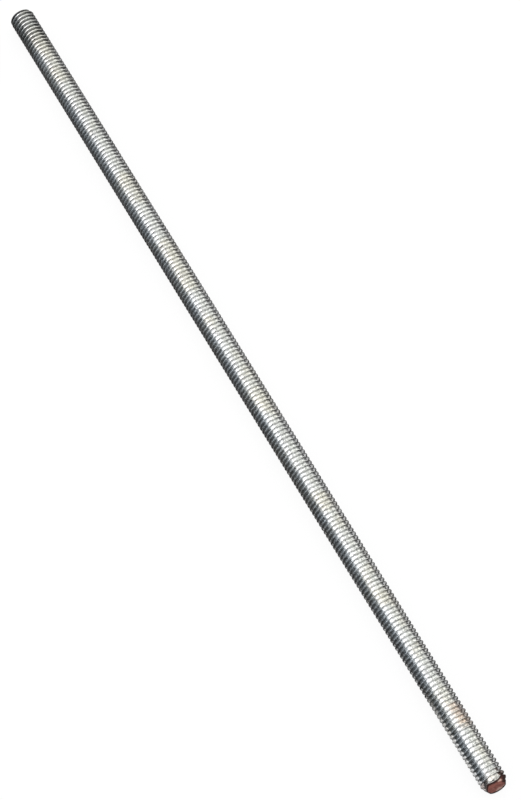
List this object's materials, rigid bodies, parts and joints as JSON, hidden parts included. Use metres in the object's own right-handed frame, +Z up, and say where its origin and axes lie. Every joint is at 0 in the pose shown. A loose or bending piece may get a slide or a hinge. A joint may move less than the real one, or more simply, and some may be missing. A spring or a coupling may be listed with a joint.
{
  "type": "threaded rod",
  "caption": "Straight steel rod with a right-hand screw thread along its whole length and a bevelled, square-cut face at each end, one of them dabbed with paint.",
  "frame": {"origin": "centre of the plain end face", "axes": "+X along the rod's axis, from the plain end to the painted end; the rod lies level and +Z is up"},
  "size_m": [0.3048, 0.008, 0.008],
  "materials": {
    "zinc_plated_steel": "bright zinc plating, glossy, with a dab of matte red-brown paint on one end face"
  },
  "bodies": {
    "root": {"threaded_rod": "zinc_plated_steel"}
  },
  "joints": []
}
